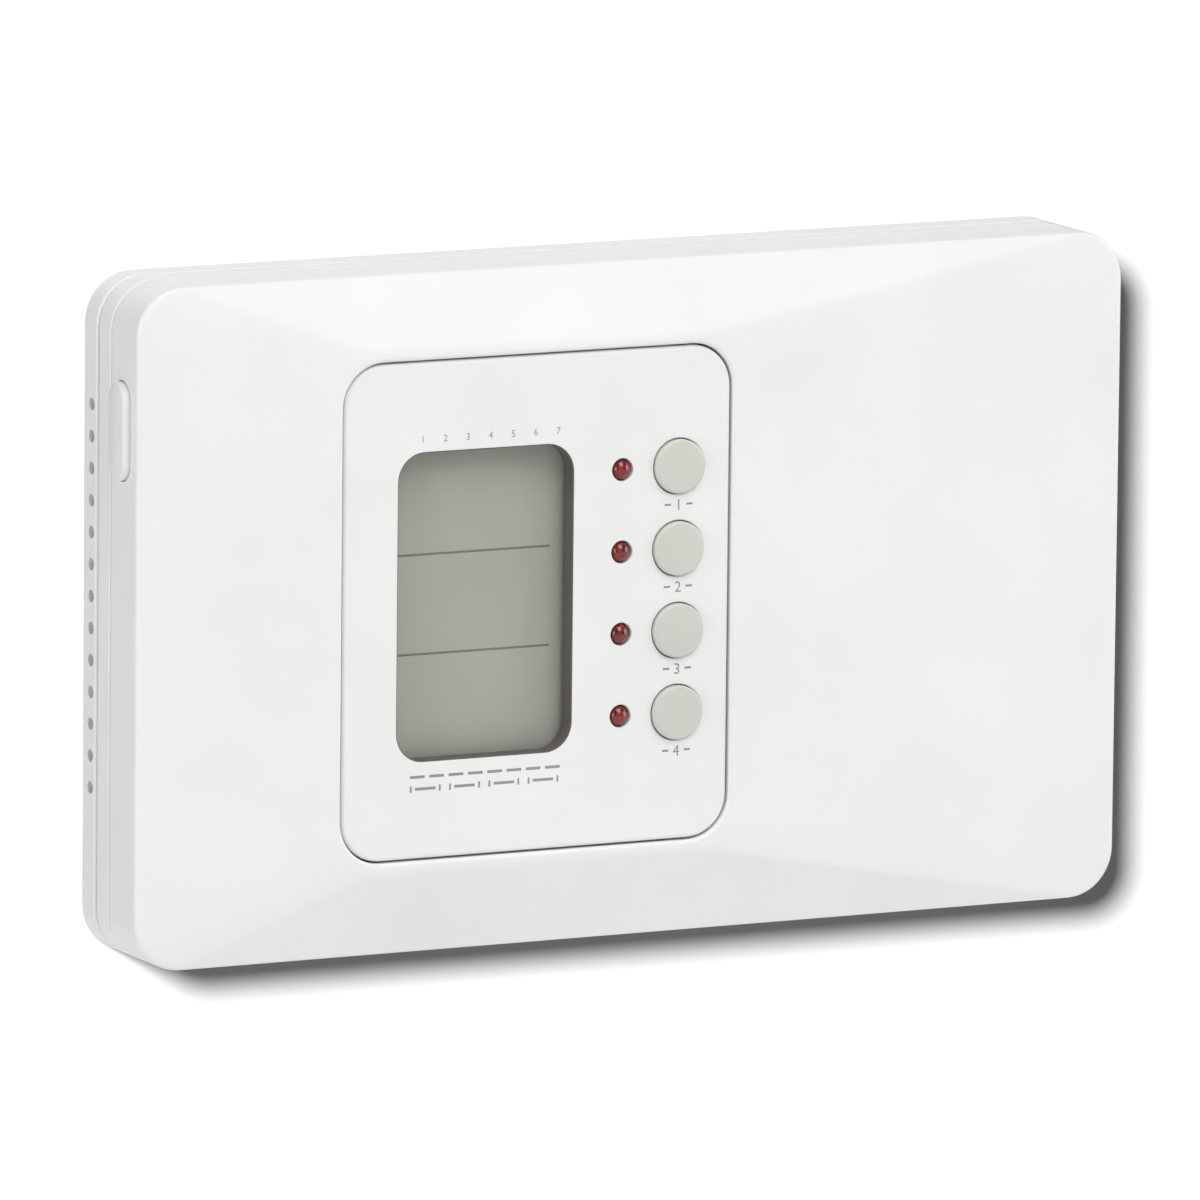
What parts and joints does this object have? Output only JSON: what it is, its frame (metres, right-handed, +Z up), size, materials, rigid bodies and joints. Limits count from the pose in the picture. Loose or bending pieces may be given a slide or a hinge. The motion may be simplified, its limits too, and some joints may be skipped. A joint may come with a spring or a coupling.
{
  "type": "programmable timer",
  "caption": "Shallow wall-mounted programmable heating timer: hinged white door around a fixed control panel with a tall display, red indicator lights and round push buttons.",
  "frame": {"origin": "centre of the back face of the wall plate, on the wall plane", "axes": "+X to the right seen from the front, +Z up, +Y into the wall; the front faces -Y"},
  "size_m": [0.1553, 0.0229, 0.096],
  "materials": {
    "case_white": "fine moulded texture",
    "tab_white": "fine moulded texture",
    "button_grey": "satin",
    "key_grey": "satin",
    "frame_black": "satin",
    "window_clear": "polished",
    "display_grey": "smooth",
    "reflector": "smooth",
    "led_red": "polished",
    "board_green": "solder mask",
    "component_black": "moulded",
    "relay_blue": "moulded",
    "terminal_green": "moulded",
    "nylon_white": "moulded",
    "fuse_glass": "polished",
    "zinc_steel": "zinc plated",
    "contact_brass": "plated"
  },
  "bodies": {
    "base": {"wall_plate": "case_white", "mid_case": "case_white", "control_panel": "case_white", "hinge_pins": "zinc_steel", "lcd_frame": "frame_black", "lcd_lens": "window_clear", "lcd_glass": "display_grey", "lcd_backing": "reflector", "lcd_pins": "zinc_steel", "led_1": "led_red", "led_2": "led_red", "led_3": "led_red", "led_4": "led_red", "channel_switches": "component_black", "display_board": "board_green", "microcontroller": "component_black", "clock_crystal": "zinc_steel", "key_switches": "component_black", "keypad_board": "board_green", "keypad_ribbon": "nylon_white", "main_board": "board_green", "relay_1": "relay_blue", "relay_2": "relay_blue", "relay_3": "relay_blue", "relay_4": "relay_blue", "power_module": "component_black", "fuse": "fuse_glass", "fuse_clips": "contact_brass", "varistor": "relay_blue", "capacitors": "component_black", "backup_cell": "zinc_steel", "cell_holder": "component_black", "terminal_block": "terminal_green", "terminal_screws": "zinc_steel", "terminal_clamps": "contact_brass", "header_base": "component_black", "header_pins": "contact_brass", "header_socket": "component_black", "cable_clamp": "nylon_white", "clamp_screws": "zinc_steel", "main_board_screws": "zinc_steel", "display_screws": "zinc_steel", "keypad_screws": "zinc_steel", "case_screws": "zinc_steel"},
    "door": {"door": "case_white", "latch_spring": "zinc_steel"},
    "latch": {"latch_button": "tab_white"},
    "channel_1": {"channel_button_1": "button_grey"},
    "channel_2": {"channel_button_2": "button_grey"},
    "channel_3": {"channel_button_3": "button_grey"},
    "channel_4": {"channel_button_4": "button_grey"},
    "key_1": {"program_key_1": "key_grey"},
    "key_2": {"program_key_2": "key_grey"},
    "key_3": {"program_key_3": "key_grey"},
    "key_4": {"program_key_4": "key_grey"},
    "key_5": {"program_key_5": "key_grey"},
    "key_6": {"program_key_6": "key_grey"}
  },
  "joints": [
    {"name": "door_hinge", "type": "hinge", "parent": "base", "child": "door", "pos_m": [0.0754, -0.0107, 0], "axis": [0, 0, 1], "range_deg": [0, 95]},
    {"name": "latch_press", "type": "slide", "parent": "door", "child": "latch", "axis": [1, 0, 0], "range_m": [0, 0.0012], "stiffness_N_per_m": 500, "springref_m": -0.001, "deforming": ["latch_spring"]},
    {"name": "channel_1_press", "type": "slide", "parent": "base", "child": "channel_1", "axis": [0, 1, 0], "range_m": [0, 0.0005], "stiffness_N_per_m": 400, "springref_m": -0.001},
    {"name": "channel_2_press", "type": "slide", "parent": "base", "child": "channel_2", "axis": [0, 1, 0], "range_m": [0, 0.0005], "stiffness_N_per_m": 400, "springref_m": -0.001},
    {"name": "channel_3_press", "type": "slide", "parent": "base", "child": "channel_3", "axis": [0, 1, 0], "range_m": [0, 0.0005], "stiffness_N_per_m": 400, "springref_m": -0.001},
    {"name": "channel_4_press", "type": "slide", "parent": "base", "child": "channel_4", "axis": [0, 1, 0], "range_m": [0, 0.0005], "stiffness_N_per_m": 400, "springref_m": -0.001},
    {"name": "key_1_press", "type": "slide", "parent": "base", "child": "key_1", "axis": [0, 1, 0], "range_m": [0, 0.0005], "stiffness_N_per_m": 400, "springref_m": -0.001},
    {"name": "key_2_press", "type": "slide", "parent": "base", "child": "key_2", "axis": [0, 1, 0], "range_m": [0, 0.0005], "stiffness_N_per_m": 400, "springref_m": -0.001},
    {"name": "key_3_press", "type": "slide", "parent": "base", "child": "key_3", "axis": [0, 1, 0], "range_m": [0, 0.0005], "stiffness_N_per_m": 400, "springref_m": -0.001},
    {"name": "key_4_press", "type": "slide", "parent": "base", "child": "key_4", "axis": [0, 1, 0], "range_m": [0, 0.0005], "stiffness_N_per_m": 400, "springref_m": -0.001},
    {"name": "key_5_press", "type": "slide", "parent": "base", "child": "key_5", "axis": [0, 1, 0], "range_m": [0, 0.0005], "stiffness_N_per_m": 400, "springref_m": -0.001},
    {"name": "key_6_press", "type": "slide", "parent": "base", "child": "key_6", "axis": [0, 1, 0], "range_m": [0, 0.0005], "stiffness_N_per_m": 400, "springref_m": -0.001}
  ]
}
